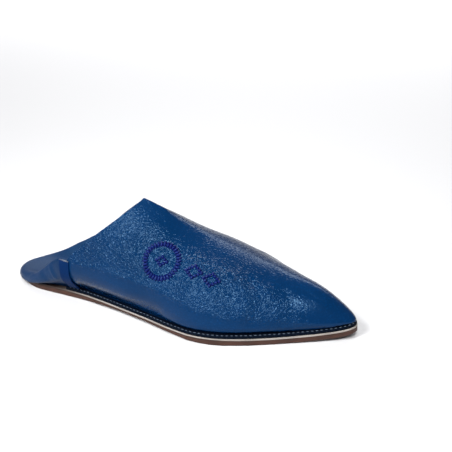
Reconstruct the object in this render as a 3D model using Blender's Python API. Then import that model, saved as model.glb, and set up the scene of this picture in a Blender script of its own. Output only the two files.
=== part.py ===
"""Babouche slipper for the right foot, empty and standing on its sole.

A flat leather sole carries a pointed, hollow vamp and a back that is folded
down inside the heel.  The toe points along +X, the inner side of the foot lies
along +Y, and +Z is up, in metres.  The origin is on the ground under the middle.
"""
import math

import bmesh
import bpy
import numpy as np

# Sole
SOLE_LENGTH = 0.280
BALL_WIDTH = 0.102
HEEL_ROUND = 0.031
TOE_ROUND = 0.017
TOE_SPRING = 0.0044
TOE_SWING = 0.0024
ARCH_RISE = 0.0026
OUTSOLE_THICKNESS = 0.0038
MIDSOLE_THICKNESS = 0.0011
EDGE_ROUND = 0.0005
INSOLE_THICKNESS = 0.0015

# Stitched rand, which runs round the sole outside the upper from seam to seam
RAND_WIDTH = 0.0044
RAND_HEIGHT = 0.0022
RAND_LEDGE = 0.0003
RAND_BEHIND_SEAM = 0.0100

# Upper
LEATHER = 0.0016
INSTEP_HEIGHT = 0.0824
SHOULDER_HEIGHT = 0.0215
SPREAD = 0.0082
COLLAR_SETBACK = 0.1118
COLLAR_BOW = 0.0025
NOSE_ROUND = 0.020
TOE_FILL = 0.0125

# Side seams and the folded back
SEAM_HEIGHT = 0.0348
SEAM_SETBACK = 0.0584
SEAM_SLANT = 0.0035
STRIP_WIDTH = 0.0092
STRIP_THICKNESS = 0.0010
BACK_HEIGHT = 0.0090
HEEL_OVERHANG = 0.0035
HEEL_DROOP = 0.0035
FLAP_LENGTH = 0.0480
FLAP_HOOK = 0.0038

# Clearance between pieces that touch
FIT_GAP = 0.0003

# Stations run from 0 at the back of the sole to 1 at its tip.
# half_width: share of half BALL_WIDTH.  arch: share of ARCH_RISE.
# spring: share of TOE_SPRING.  swing: share of TOE_SWING, towards the inner side.
SOLE_TABLE = {
    "station":    (0.00, 0.08, 0.17, 0.24, 0.31, 0.38, 0.46, 0.55, 0.62, 0.67, 0.74, 0.80, 0.90, 0.96, 1.00),
    "half_width": (0.42, 0.45, 0.475, 0.51, 0.585, 0.68, 0.79, 0.93, 1.00, 0.975, 0.845, 0.685, 0.405, 0.25, 0.20),
    "arch":       (0.00, 0.00, 0.00, 0.25, 0.65, 1.00, 0.95, 0.60, 0.20, 0.00, 0.00, 0.00, 0.00, 0.00, 0.00),
    "spring":     (0.00, 0.00, 0.00, 0.00, 0.00, 0.00, 0.00, 0.00, 0.00, 0.00, 0.00, 0.00, 0.24, 0.62, 1.00),
    "swing":      (0.00, 0.00, 0.00, 0.00, 0.00, 0.00, 0.00, 0.00, 0.00, 0.05, 0.15, 0.33, 0.66, 0.87, 1.00),
}

# The shoulder is the line where the side of the upper stands widest.
# foot: inset of the upper's foot, share of that beside the rand.
# welt: height to which that foot stands upright, share of that beside the rand.
# shoulder: height above the seat, share of SHOULDER_HEIGHT.
# spread: how far it stands outside the sole's edge, share of SPREAD.
# tuck: how far the leather runs outwards before it turns up to the shoulder.
# droop: how far it hangs over the sole's edge on its way, share of HEEL_DROOP.
# ridge: height of the crown above the shoulder, share of that at the instep.
# flank, crown: fullness of the section at the side and over the foot.
# peak: how sharply the two sides meet at the crown.
UPPER_TABLE = {
    "station":  (0.00, 0.05, 0.10, 0.155, 0.20, 0.28, 0.40, 0.455, 0.534, 0.63, 0.73, 0.84, 0.90, 0.95, 1.00),
    "foot":     (0.60, 0.60, 0.62, 0.80, 1.00, 1.00, 1.00, 1.00, 1.00, 1.00, 1.00, 1.00, 1.00, 1.00, 1.00),
    "welt":     (0.16, 0.16, 0.20, 0.60, 1.00, 1.00, 1.00, 1.00, 1.00, 1.00, 1.00, 1.00, 1.00, 1.00, 1.00),
    "shoulder": (-0.03, 0.03, 0.25, 0.62, 0.93, 1.00, 0.93, 0.84, 0.68, 0.50, 0.40, 0.38, 0.34, 0.26, 0.14),
    "spread":   (0.43, 0.48, 0.64, 0.84, 1.00, 0.95, 0.56, 0.25, -0.08, -0.25, -0.25, -0.22, -0.18, -0.12, -0.10),
    "tuck":     (0.62, 0.60, 0.54, 0.50, 0.50, 0.50, 0.50, 0.45, 0.40, 0.35, 0.30, 0.30, 0.30, 0.30, 0.30),
    "droop":    (1.00, 1.00, 0.80, 0.35, 0.00, 0.00, 0.00, 0.00, 0.00, 0.00, 0.00, 0.00, 0.00, 0.00, 0.00),
    "ridge":    (1.22, 1.22, 1.20, 1.17, 1.15, 1.09, 1.00, 0.950, 0.843, 0.742, 0.622, 0.452, 0.365, 0.23, 0.12),
    "flank":    (0.14, 0.14, 0.14, 0.14, 0.15, 0.22, 0.33, 0.40, 0.44, 0.48, 0.48, 0.45, 0.42, 0.40, 0.40),
    "crown":    (0.42, 0.42, 0.42, 0.42, 0.42, 0.44, 0.46, 0.50, 0.52, 0.54, 0.54, 0.54, 0.54, 0.54, 0.54),
    "peak":     (0.55, 0.55, 0.55, 0.55, 0.52, 0.48, 0.40, 0.34, 0.26, 0.18, 0.16, 0.16, 0.16, 0.16, 0.16),
}

# The fold of the back, from the middle of the heel (0) to a side seam (1).
# crest: height of the fold, from BACK_HEIGHT (0) to SEAM_HEIGHT (1).
# lean: how far the crest stands inside the shoulder, share of SPREAD.
# across: distance of the flap's front edge from the middle, share of that at the seam.
# back: place of that edge, from the seam (0) to FLAP_LENGTH (1).
# drop: height of that edge, from the insole (0) to the hook at the seam (1).
FOLD_TABLE = {
    "around": (0.00, 0.22, 0.37, 0.47, 0.575, 0.64, 0.715, 0.84, 0.94, 1.00),
    "crest":  (0.00, 0.01, 0.05, 0.11, 0.20, 0.285, 0.44, 0.78, 1.00, 1.00),
    "lean":   (0.72, 0.72, 0.70, 0.66, 0.59, 0.55, 0.51, 0.48, 0.48, 0.48),
    "across": (0.00, 0.24, 0.40, 0.50, 0.61, 0.67, 0.745, 0.86, 0.95, 1.00),
    "back":   (1.00, 0.98, 0.95, 0.89, 0.82, 0.74, 0.62, 0.36, 0.13, 0.00),
    "drop":   (0.00, 0.00, 0.01, 0.04, 0.10, 0.15, 0.24, 0.48, 0.78, 1.00),
}

# Shares of the handles that round the fold and lay the flap down
FOLD_FULLNESS = 0.48
FLAP_START = 0.28
FLAP_END = 0.45
DROOP_LEAD = 0.20

# Steps of the lofts
SOLE_STEPS = 46
VAMP_COLUMNS = 25
NOSE_COLUMNS = 8
NOSE_START = 0.93
TUCK_ROWS = 5
SIDE_ROWS = 3
CROWN_ROWS = 9
BACK_STEPS = 17
FOLD_ROWS = 4
FLAP_ROWS = 7
STRIP_ROWS = 10
STRIP_COLUMNS = 3
STRIP_START = 0.22
STRIP_BEHIND = 0.6

OUTER, INNER = -1, 1
DELTA = 1e-4


class Curve:
    """Smooth reading of one column of a table, with no overshoot between rows."""

    def __init__(self, table, key, name):
        self.x = np.array(table[key])
        self.y = np.array(table[name])
        step = np.diff(self.x)
        slope = np.diff(self.y) / step
        self.m = np.zeros(len(self.x))
        self.m[0], self.m[-1] = slope[0], slope[-1]
        for i in range(1, len(slope)):
            before, after = slope[i - 1], slope[i]
            if before * after > 0:
                wide = 2 * step[i] + step[i - 1]
                near = step[i] + 2 * step[i - 1]
                self.m[i] = (wide + near) / (wide / before + near / after)

    def __call__(self, x):
        x = min(max(float(x), self.x[0]), self.x[-1])
        i = min(int(np.searchsorted(self.x, x, side="right")) - 1, len(self.x) - 2)
        h = self.x[i + 1] - self.x[i]
        s = (x - self.x[i]) / h
        value = (2 * s**3 - 3 * s**2 + 1) * self.y[i] + (3 * s**2 - 2 * s**3) * self.y[i + 1]
        return value + h * ((s**3 - 2 * s**2 + s) * self.m[i] + (s**3 - s**2) * self.m[i + 1])


SOLE = {name: Curve(SOLE_TABLE, "station", name) for name in SOLE_TABLE}
UPPER = {name: Curve(UPPER_TABLE, "station", name) for name in UPPER_TABLE}
FOLD = {name: Curve(FOLD_TABLE, "around", name) for name in FOLD_TABLE}

# Insets from the sole's edge, and levels over the flat of the sole
FEATHER_INSET = RAND_LEDGE + RAND_WIDTH + FIT_GAP
INSOLE_INSET = FEATHER_INSET + LEATHER + FIT_GAP
MIDSOLE_SEAT = OUTSOLE_THICKNESS + FIT_GAP
SEAT = MIDSOLE_SEAT + MIDSOLE_THICKNESS + FIT_GAP
FLAP_REST = SEAT + INSOLE_THICKNESS + FIT_GAP + LEATHER


def mix(a, b, s):
    """Value or point at share s of the way from a to b."""
    return a + (b - a) * s


def bezier(a, b, c, d, s):
    """Point at share s of the cubic that runs from a to d with handles b and c."""
    r = 1 - s
    return a * r**3 + b * (3 * r * r * s) + c * (3 * r * s * s) + d * s**3


def round_end(s):
    """Quarter circle from 0 at s = 0 to 1 at s = 1, and level after that."""
    s = min(max(s, 0.0), 1.0)
    return math.sqrt(s * (2 - s))


def solve(miss, low, high):
    """Value between low and high at which a rising function passes zero."""
    for _ in range(28):
        middle = (low + high) / 2
        if miss(middle) < 0:
            low = middle
        else:
            high = middle
    return (low + high) / 2


def up(z):
    """Step straight up."""
    return np.array((0.0, 0.0, z))


# The sole's outline

def station_x(t):
    """Place of a station; the heel's leather stands proud behind the sole."""
    return (t - 0.5) * SOLE_LENGTH + HEEL_OVERHANG / 2


def x_station(x):
    """Station of a place."""
    return (x - HEEL_OVERHANG / 2) / SOLE_LENGTH + 0.5


def lift(t):
    """Rise of the whole sole towards the toe."""
    return TOE_SPRING * SOLE["spring"](t)


def steepness(t):
    """Length of a step square to the sole's edge, against one across the sole."""
    d = 0.004
    rise = (SOLE["half_width"](t + d) - SOLE["half_width"](t - d)) * BALL_WIDTH / 2
    return math.hypot(1.0, rise / (2 * d * SOLE_LENGTH))


def back_end(inset):
    """Station where an inset outline starts at the heel."""
    return inset / SOLE_LENGTH


def toe_end(inset):
    """Station where an inset outline ends at the toe, whose sides meet in a wedge."""
    return 1 - 1.05 * inset / SOLE_LENGTH


def half_width(t, inset, tip):
    """Half width at a station of the outline that lies an inset inside the edge."""
    wide = SOLE["half_width"](t) * BALL_WIDTH / 2 - inset * steepness(t)
    back = back_end(inset)
    heel = round_end((t - back) / (HEEL_ROUND / SOLE_LENGTH - back))
    turn = TOE_ROUND / SOLE_LENGTH
    toe = round_end((tip - t) / max(turn - (1 - tip), turn / 4))
    return wide * heel * toe


def edge(t, side, inset, z, tip=None):
    """Point on an inset outline at a station."""
    wide = half_width(t, inset, toe_end(inset) if tip is None else tip)
    return np.array((station_x(t), TOE_SWING * SOLE["swing"](t) + side * wide, z))


# The upper's surface

def shoulder_z(t):
    """Height of the upper's widest line."""
    return SEAT + lift(t) + SHOULDER_HEIGHT * UPPER["shoulder"](t)


def outward(t):
    """Inset of the upper's widest line, below zero where it overhangs the sole."""
    return -SPREAD * UPPER["spread"](t)


def ridge_z(t, tip):
    """Height of the crown along the middle, which drops to the nose at its tip."""
    instep = INSTEP_HEIGHT - shoulder_z(x_station(station_x(0) + COLLAR_SETBACK))
    nose = round_end((tip - t) * SOLE_LENGTH / NOSE_ROUND)
    return shoulder_z(t) + instep * UPPER["ridge"](t) * nose


def seam_x(z):
    """Place of the side seams, which lean forward as they run down."""
    down = (SEAM_HEIGHT - z) / (SEAM_HEIGHT - SEAT)
    return station_x(0) + SEAM_SETBACK + SEAM_SLANT * down


def collar_x(z):
    """Back edge of the vamp: the seam, and above it a slope up to the instep."""
    if z <= SEAM_HEIGHT:
        return seam_x(z)
    climb = (z - SEAM_HEIGHT) / (INSTEP_HEIGHT - SEAM_HEIGHT)
    straight = mix(seam_x(SEAM_HEIGHT), station_x(0) + COLLAR_SETBACK, climb)
    return straight - COLLAR_BOW * 6.75 * climb * (1 - climb) ** 2


def foot_inset(t):
    """Inset of the upper's foot: beside the rand, and nearer the edge at the heel."""
    return FEATHER_INSET * UPPER["foot"](t)


def wall_point(low, middle, side, v):
    """Side wall: v from -1 at the seat, 0 at the welt, to 1 at the shoulder."""
    feather = edge(low, side, foot_inset(low), SEAT + lift(low))
    welt = feather + up((RAND_HEIGHT + FIT_GAP) * UPPER["welt"](low))
    if v <= 0:
        return mix(feather, welt, v + 1)
    shoulder = edge(middle, side, outward(middle), shoulder_z(middle))
    tuck = UPPER["tuck"](middle)
    droop = HEEL_DROOP * UPPER["droop"](middle)
    rise = max(shoulder[2] - welt[2], 0.0)
    turn = mix(welt, shoulder, tuck)
    turn[2] = welt[2] + rise * tuck**2 + droop * DROOP_LEAD
    return bezier(welt, turn, shoulder - up(rise * tuck + droop), shoulder, v)


VAMP_START = x_station(station_x(0) + SEAM_SETBACK - 2 * STRIP_WIDTH)


def vamp_station(u, inset):
    """Station at share u of the way to the tip of an inset outline."""
    plain = mix(VAMP_START, 1.0, math.sin(math.pi / 2 * u))
    late = min(max(2 * u - 1, 0.0), 1.0)
    return plain + (toe_end(inset) - 1) * late * late * (3 - 2 * late)


def vamp_point(u, v, side):
    """Outer face of the vamp: u along it, v up the wall and on to 2 at the crown."""
    middle = vamp_station(u, outward(1.0))
    low = vamp_station(u, FEATHER_INSET)
    if v <= 1:
        return wall_point(low, middle, side, v)
    tip = toe_end(outward(1.0))
    shoulder = edge(middle, side, outward(middle), shoulder_z(middle))
    crown = edge(middle, 0, 0.0, ridge_z(middle, tip))
    rise = crown[2] - shoulder[2]
    fullness = UPPER["crown"](middle)
    reach = (shoulder - crown) * np.array((1, 1, UPPER["peak"](middle))) * fullness
    return bezier(shoulder, shoulder + up(rise * UPPER["flank"](middle)), crown + reach, crown, v - 1)


def normal(point, a, b, sign):
    """Outward direction of a face given as point(a, b)."""
    along = point(a + DELTA, b) - point(a - DELTA, b)
    across = point(a, b + DELTA) - point(a, b - DELTA)
    n = np.cross(along, across) * sign
    return n / np.linalg.norm(n)


def vamp_normal(u, v, side):
    """Outward direction of the vamp; over the crown it lies in the middle plane."""
    v_inside = min(max(v, -1 + DELTA), 2 - DELTA)
    n = normal(lambda a, b: vamp_point(a, b, side), min(u, 1 - DELTA), v_inside, -side)
    if v == 2:
        n = np.array((n[0], 0.0, n[2])) / (n[0] ** 2 + n[2] ** 2)
    return n


def share_of_x(u):
    """Share of the vamp's length that is covered at u."""
    return math.sin(math.pi / 2 * u)


def u_of_share(s):
    """Inverse of share_of_x."""
    return math.asin(min(max(s, 0.0), 1.0)) * 2 / math.pi


def vamp_start_u(v, side):
    """Where a row of the vamp meets its back edge."""
    def miss(u):
        point = vamp_point(u, v, side)
        return point[0] - collar_x(point[2])
    return solve(miss, 0.0, 0.7)


def strip_u(v, side, offset):
    """Where a row of the vamp's surface meets a line beside the side seam."""
    def miss(u):
        point = vamp_point(u, v, side)
        return point[0] - seam_x(point[2]) - offset
    return solve(miss, 0.0, 0.7)


def corner_v(side):
    """Row that meets the top of the side seam."""
    return solve(lambda v: vamp_point(vamp_start_u(v, side), v, side)[2] - SEAM_HEIGHT, 1.0, 2.0)


# The folded back

def back_share(t_end, around, inset):
    """Station on the way from the middle of the heel to the seam."""
    return mix(back_end(inset), t_end, 1 - math.cos(math.pi / 2 * around))


def crest_point(t_end, around, side):
    """Top of the fold."""
    t = back_share(t_end, around, outward(0.0))
    lean = outward(t) + SPREAD * FOLD["lean"](around)
    t = back_share(t_end, around, lean)
    return edge(t, side, lean, mix(BACK_HEIGHT, SEAM_HEIGHT, FOLD["crest"](around)))


def flap_edge(around, side):
    """Front edge of the flap, from the seam down to the insole and up again."""
    hook = SEAM_HEIGHT - FLAP_HOOK
    z = mix(FLAP_REST, hook, FOLD["drop"](around))
    seam = seam_x(z) - FIT_GAP
    x = mix(seam, station_x(0) + FLAP_LENGTH, FOLD["back"](around))
    t_end = x_station(seam_x(SEAM_HEIGHT) - FIT_GAP)
    wide = abs(crest_point(t_end, 1.0, side)[1]) - FLAP_HOOK
    return np.array((x, side * wide * FOLD["across"](around), z))


def back_point(t_end, around, side, v):
    """Outer face of the back: v up the wall to 1, to 2 at the crest, to 3 on the flap."""
    t = back_share(t_end, around, 0.0)
    low = back_share(t_end, around, foot_inset(t))
    middle = back_share(t_end, around, outward(t))
    if v <= 1:
        return wall_point(low, middle, side, v)
    crest = crest_point(t_end, around, side)
    if v <= 2:
        shoulder = edge(middle, side, outward(middle), shoulder_z(middle))
        reach = (shoulder - crest) * np.array((1, 1, 0)) * FOLD_FULLNESS
        rise = up((crest[2] - shoulder[2]) * FOLD_FULLNESS)
        return bezier(shoulder, shoulder + rise, crest + reach, crest, v - 1)
    front = flap_edge(around, side)
    level = (front - crest) * np.array((1, 1, 0))
    return bezier(crest, crest + level * FLAP_START, front - level * FLAP_END, front, v - 2)


def back_reach(v, side):
    """Station at which a row of the back stops short of the side seam."""
    def miss(t_end):
        point = back_point(t_end, 1.0, side, min(v, 2.0))
        return point[0] - seam_x(point[2]) + FIT_GAP
    return solve(miss, 0.05, 0.4)


# Meshes

class Skin:
    """Closed mesh under construction, with points at one place welded."""

    def __init__(self):
        self.points = []
        self.index = {}
        self.faces = []

    def add(self, point):
        key = tuple(int(round(c * 1e7)) for c in point)
        if key not in self.index:
            self.index[key] = len(self.points)
            self.points.append([float(c) for c in point])
        return self.index[key]

    def face(self, *points):
        corners = []
        for i in (self.add(p) for p in points):
            if i not in corners:
                corners.append(i)
        if len(corners) > 2:
            self.faces.append(corners)

    def strip(self, first, second):
        """Faces between two rows of points."""
        for i in range(len(first) - 1):
            self.face(first[i], first[i + 1], second[i + 1], second[i])

    def sheet(self, rows):
        """Faces over a grid of points."""
        for first, second in zip(rows, rows[1:]):
            self.strip(first, second)

    def fan(self, loop):
        """Faces from the middle of a closed loop to its sides."""
        middle = sum(loop) / len(loop)
        for first, second in zip(loop, loop[1:] + loop[:1]):
            self.face(first, second, middle)

    def build(self, name, colour, roughness):
        mesh = bpy.data.meshes.new(name)
        mesh.from_pydata(self.points, [], self.faces)
        work = bmesh.new()
        work.from_mesh(mesh)
        bmesh.ops.recalc_face_normals(work, faces=work.faces)
        work.to_mesh(mesh)
        work.free()
        mesh.shade_smooth()
        mesh.set_sharp_from_angle(angle=math.radians(40))
        piece = bpy.data.objects.new(name, mesh)
        mesh.materials.append(leather(name, colour, roughness))
        bpy.data.collections[COLLECTION].objects.link(piece)
        return piece


COLLECTION = "Babouche slipper"


def leather(name, colour, roughness):
    """Plain leather of one colour."""
    material = bpy.data.materials.new(name)
    material.use_nodes = True
    shader = material.node_tree.nodes["Principled BSDF"]
    shader.inputs["Base Color"].default_value = (*colour, 1.0)
    shader.inputs["Roughness"].default_value = roughness
    shader.inputs["Metallic"].default_value = 0.0
    return material


def outline(inset, level, start=None, tip=None):
    """Two rows of points, heel to toe, on the outer and inner side of an outline."""
    begin = back_end(inset) if start is None else start
    end = toe_end(inset) if tip is None else tip
    rows = {OUTER: [], INNER: []}
    for i in range(SOLE_STEPS + 1):
        share = (1 - math.cos(math.pi * i / SOLE_STEPS)) / 2
        t = mix(begin, end, share)
        for side in rows:
            rows[side].append(edge(t, side, inset, level(t), end))
    return rows


def slab(layers, tip=None):
    """Flat piece whose sides pass through layers of (inset, level)."""
    skin = Skin()
    rings = [outline(inset, level, tip=tip) for inset, level in layers]
    for side in (OUTER, INNER):
        skin.sheet([ring[side] for ring in rings])
    for ring in (rings[0], rings[-1]):
        skin.strip(ring[OUTER], ring[INNER])
    return skin


def make_outsole():
    def floor(t):
        return lift(t) + ARCH_RISE * SOLE["arch"](t)

    layers = (
        (EDGE_ROUND, floor),
        (0.0, lambda t: floor(t) + EDGE_ROUND),
        (0.0, lambda t: lift(t) + OUTSOLE_THICKNESS),
    )
    return slab(layers).build("outsole", (0.16, 0.065, 0.035), 0.55)


def make_midsole():
    layers = (
        (0.0, lambda t: lift(t) + MIDSOLE_SEAT),
        (0.0, lambda t: lift(t) + MIDSOLE_SEAT + MIDSOLE_THICKNESS),
    )
    return slab(layers).build("midsole", (0.72, 0.62, 0.50), 0.60)


def make_insole():
    tip = cavity_station() - 3 * FIT_GAP / SOLE_LENGTH
    layers = (
        (INSOLE_INSET, lambda t: lift(t) + SEAT),
        (INSOLE_INSET, lambda t: lift(t) + SEAT + INSOLE_THICKNESS),
    )
    return slab(layers, tip).build("insole", (0.10, 0.13, 0.24), 0.70)


def make_rand():
    """Strip with a rounded outer corner, swept round the toe from seam to seam."""
    start = x_station(seam_x(SEAT) - RAND_BEHIND_SEAM)
    outer, inner = RAND_LEDGE, RAND_LEDGE + RAND_WIDTH
    section = (
        (outer, SEAT),
        (outer, SEAT + RAND_HEIGHT - EDGE_ROUND),
        (outer + EDGE_ROUND, SEAT + RAND_HEIGHT),
        (inner, SEAT + RAND_HEIGHT),
        (inner, SEAT),
        (outer, SEAT),
    )
    rings = [outline(inset, lambda t, z=z: lift(t) + z, start) for inset, z in section]
    skin = Skin()
    for side in (OUTER, INNER):
        skin.sheet([ring[side] for ring in rings])
        skin.face(*[ring[side][0] for ring in rings])
    return skin.build("rand", (0.010, 0.020, 0.075), 0.45)


def cavity_u():
    """Share along the vamp where its hollow ends, behind the filled nose."""
    length = SOLE_LENGTH * (1 - VAMP_START)
    return u_of_share(1 - TOE_FILL / length)


def cavity_station():
    """Station where the hollow ends over the insole."""
    return vamp_station(cavity_u(), FEATHER_INSET)


def column_u(j, start, end):
    """Column j of the vamp: even steps along it, then shorter ones round the nose."""
    turn = u_of_share(NOSE_START)
    if j <= VAMP_COLUMNS:
        return u_of_share(mix(share_of_x(start), NOSE_START, j / VAMP_COLUMNS))
    return mix(turn, end, (j - VAMP_COLUMNS) / NOSE_COLUMNS)


def vamp_rows(side):
    """Rows of the vamp from the seat to the crown, with one on the seam's corner."""
    corner = corner_v(side)
    rows = [-1.0, 0.0]
    rows += [(i + 1) / TUCK_ROWS for i in range(TUCK_ROWS)]
    rows += [mix(1.0, corner, (i + 1) / SIDE_ROWS) for i in range(SIDE_ROWS)]
    rows += [mix(corner, 2.0, (i + 1) / CROWN_ROWS) for i in range(CROWN_ROWS)]
    rows[-1] = 2.0
    return rows


def make_vamp():
    """Hollow shell, open at the collar and underneath, with a filled nose."""
    outside, inside = [], []
    for side in (OUTER, INNER):
        rows = vamp_rows(side)
        for v in rows if side == OUTER else rows[-2::-1]:
            start = vamp_start_u(v, side)
            outer, inner = [], []
            for j in range(VAMP_COLUMNS + NOSE_COLUMNS + 1):
                u = column_u(j, start, 1.0)
                outer.append(vamp_point(u, v, side))
                u = column_u(j, start, cavity_u())
                inner.append(vamp_point(u, v, side) - vamp_normal(u, v, side) * LEATHER)
            outside.append(outer)
            inside.append(inner)
    skin = Skin()
    skin.sheet(outside)
    skin.sheet(inside)
    skin.strip(outside[0], inside[0])
    skin.strip(outside[-1], inside[-1])
    skin.strip([row[0] for row in outside], [row[0] for row in inside])
    skin.fan([row[-1] for row in inside])
    skin.face(outside[0][-1], inside[0][-1], inside[-1][-1])
    return skin.build("vamp", (0.012, 0.075, 0.33), 0.35)


def back_at(around, v, t_end):
    """Point of the back, with around running from -1 to 1 over both sides."""
    side = OUTER if around < 0 else INNER
    return back_point(t_end, abs(around), side, v)


def make_back():
    """Wall round the heel that folds over at its crest into a flap on the insole."""
    rows = [-1.0, 0.0]
    rows += [(i + 1) / TUCK_ROWS for i in range(TUCK_ROWS)]
    rows += [1 + (i + 1) / FOLD_ROWS for i in range(FOLD_ROWS)]
    rows += [2 + (i + 1) / FLAP_ROWS for i in range(FLAP_ROWS)]
    outside, inside = [], []
    for v in rows:
        t_end = back_reach(v, OUTER)
        outer, inner = [], []
        for i in range(-BACK_STEPS, BACK_STEPS + 1):
            a = i / BACK_STEPS
            point = back_at(a, v, t_end)
            n = normal(lambda p, q: back_at(p, q, t_end), a, v, -1)
            outer.append(point)
            inner.append(point - n * LEATHER)
        outside.append(outer)
        inside.append(inner)
    skin = Skin()
    skin.sheet(outside)
    skin.sheet(inside)
    skin.strip(outside[0], inside[0])
    skin.strip(outside[-1], inside[-1])
    for end in (0, -1):
        skin.strip([row[end] for row in outside], [row[end] for row in inside])
    return skin.build("folded_back", (0.016, 0.070, 0.27), 0.38)


def make_seam_strip(name, side):
    """Band sewn over a side seam, from the rand up to the top of the seam."""
    corner = corner_v(side)
    outside, inside = [], []
    for i in range(STRIP_ROWS + 1):
        v = mix(STRIP_START, corner, i / STRIP_ROWS)
        outer, inner = [], []
        for j in range(STRIP_COLUMNS + 1):
            u = strip_u(v, side, STRIP_WIDTH * (j / STRIP_COLUMNS - STRIP_BEHIND))
            n = vamp_normal(u, v, side)
            point = vamp_point(u, v, side)
            inner.append(point + n * FIT_GAP)
            outer.append(point + n * (FIT_GAP + STRIP_THICKNESS))
        outside.append(outer)
        inside.append(inner)
    skin = Skin()
    skin.sheet(outside)
    skin.sheet(inside)
    skin.strip(outside[0], inside[0])
    skin.strip(outside[-1], inside[-1])
    for end in (0, -1):
        skin.strip([row[end] for row in outside], [row[end] for row in inside])
    return skin.build(name, (0.010, 0.085, 0.42), 0.40)


def main():
    for piece in list(bpy.data.objects):
        bpy.data.objects.remove(piece, do_unlink=True)
    group = bpy.data.collections.new(COLLECTION)
    bpy.context.scene.collection.children.link(group)
    make_outsole()
    make_midsole()
    make_insole()
    make_rand()
    make_vamp()
    make_back()
    make_seam_strip("seam_strip_outer", OUTER)
    make_seam_strip("seam_strip_inner", INNER)


main()
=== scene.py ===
"""Leather babouche slipper: grained upper, stitched edge, ornament and stage.

Run as a script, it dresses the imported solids.  Each operator makes one group of
pieces, in metres, in the frame of the solids: toe along +X, +Z up.
"""
import math

import bmesh
import bpy
import numpy as np
from bpy.props import FloatProperty, FloatVectorProperty, PointerProperty
from mathutils import Matrix, Vector, noise
from mathutils.bvhtree import BVHTree


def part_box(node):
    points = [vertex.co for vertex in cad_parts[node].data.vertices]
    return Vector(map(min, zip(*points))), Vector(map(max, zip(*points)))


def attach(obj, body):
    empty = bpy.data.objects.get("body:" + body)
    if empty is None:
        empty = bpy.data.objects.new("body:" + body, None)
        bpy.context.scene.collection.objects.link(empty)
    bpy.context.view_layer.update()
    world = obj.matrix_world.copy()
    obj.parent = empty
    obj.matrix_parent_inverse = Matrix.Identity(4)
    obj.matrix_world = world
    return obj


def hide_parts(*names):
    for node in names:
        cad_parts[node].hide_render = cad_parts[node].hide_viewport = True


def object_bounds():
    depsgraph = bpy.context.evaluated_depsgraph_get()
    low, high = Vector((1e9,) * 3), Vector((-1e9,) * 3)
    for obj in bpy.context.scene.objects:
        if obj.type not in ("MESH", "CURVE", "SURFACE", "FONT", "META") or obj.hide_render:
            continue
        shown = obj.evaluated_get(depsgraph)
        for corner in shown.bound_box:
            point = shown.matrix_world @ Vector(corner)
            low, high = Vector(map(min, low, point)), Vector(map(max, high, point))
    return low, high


bl_info = {
    "name": "Babouche slipper",
    "version": (1, 0, 0),
    "blender": (4, 5, 0),
    "location": "3D View > Sidebar > Babouche",
    "description": "Dresses a leather babouche slipper with grain, stitches and an ornament",
    "category": "Object",
}

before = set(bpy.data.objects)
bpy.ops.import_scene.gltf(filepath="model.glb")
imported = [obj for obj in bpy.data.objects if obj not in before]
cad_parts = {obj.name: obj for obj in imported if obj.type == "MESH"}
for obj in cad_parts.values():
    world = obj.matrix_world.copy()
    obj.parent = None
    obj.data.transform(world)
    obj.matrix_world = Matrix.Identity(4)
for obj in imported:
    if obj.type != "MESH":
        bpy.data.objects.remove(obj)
CAD_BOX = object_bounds()

# Outline of the sole, as in the solids; stations run from the heel (0) to the tip (1)
SOLE_LENGTH = 0.280
BALL_WIDTH = 0.102
HEEL_ROUND = 0.031
TOE_ROUND = 0.017
TOE_SPRING = 0.0044
TOE_SWING = 0.0024
HEEL_OVERHANG = 0.0035
SEAT = 0.0055
RAND_LEDGE = 0.0003
RAND_WIDTH = 0.0044
RAND_HEIGHT = 0.0022
SOLE_TABLE = {
    "station": (
        0.00, 0.08, 0.17, 0.24, 0.31, 0.38, 0.46, 0.55, 0.62, 0.67, 0.74, 0.80, 0.90, 0.96, 1.00),
    "half_width": (
        0.42, 0.45, 0.475, 0.51, 0.585, 0.68, 0.79, 0.93, 1.00, 0.975, 0.845, 0.685, 0.405, 0.25, 0.20),
    "spring": (
        0.00, 0.00, 0.00, 0.00, 0.00, 0.00, 0.00, 0.00, 0.00, 0.00, 0.00, 0.00, 0.24, 0.62, 1.00),
    "swing": (
        0.00, 0.00, 0.00, 0.00, 0.00, 0.00, 0.00, 0.00, 0.00, 0.05, 0.15, 0.33, 0.66, 0.87, 1.00),
}
OUTER, INNER = -1, 1
# An inset from the edge counts for a little more at the tip
TIP_INSET = 1.05
# Step in station over which the slope of the outline is taken
SLOPE_STEP = 0.004

# Camera, fitted to the outline of the shoe
CAMERA_PLACE = (0.323962, -0.629067, 0.380763)
CAMERA_RIGHT = (0.9139931, 0.40553465, -0.01257995)
CAMERA_UP = (-0.15551449, 0.37879896, 0.91231935)
CAMERA_LENS = 82.68
SENSOR = 36.0

# Lights: name, place, width and height, point that it looks at, and beam in degrees
BEAM = 70
WIDE_BEAM = 180
LIGHTS = (
    ("key", (-0.69, -0.88, 0.68), (0.60, 0.20), (0, 0, 0.03), BEAM),
    ("high", (-0.34, -0.80, 0.98), (0.44, 0.30), (0, 0, 0.03), BEAM),
    ("front", (0.38, -0.71, 0.89), (0.28, 0.36), (0.05, 0, 0.03), BEAM),
    ("back", (-0.50, 1.60, 1.30), (2.6, 1.5), (-0.60, 1.90, 0), WIDE_BEAM),
)
SKY_COLOUR = (0.97, 0.98, 1.0, 1.0)
FLOOR_REACH = 4.0
FLOOR_ROUGHNESS = 0.8
FLOOR_GLOSS = 0.2

# Colour that dyed and polished leather gives to what it mirrors, and how strongly each surface mirrors
SHEEN_TINT = (0.31, 0.61, 0.93)
POLISHED, DULL = 0.28, 0.12
CUT_EDGE_GLOSS = 0.35
THREAD_GLOSS = 0.30

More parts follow.
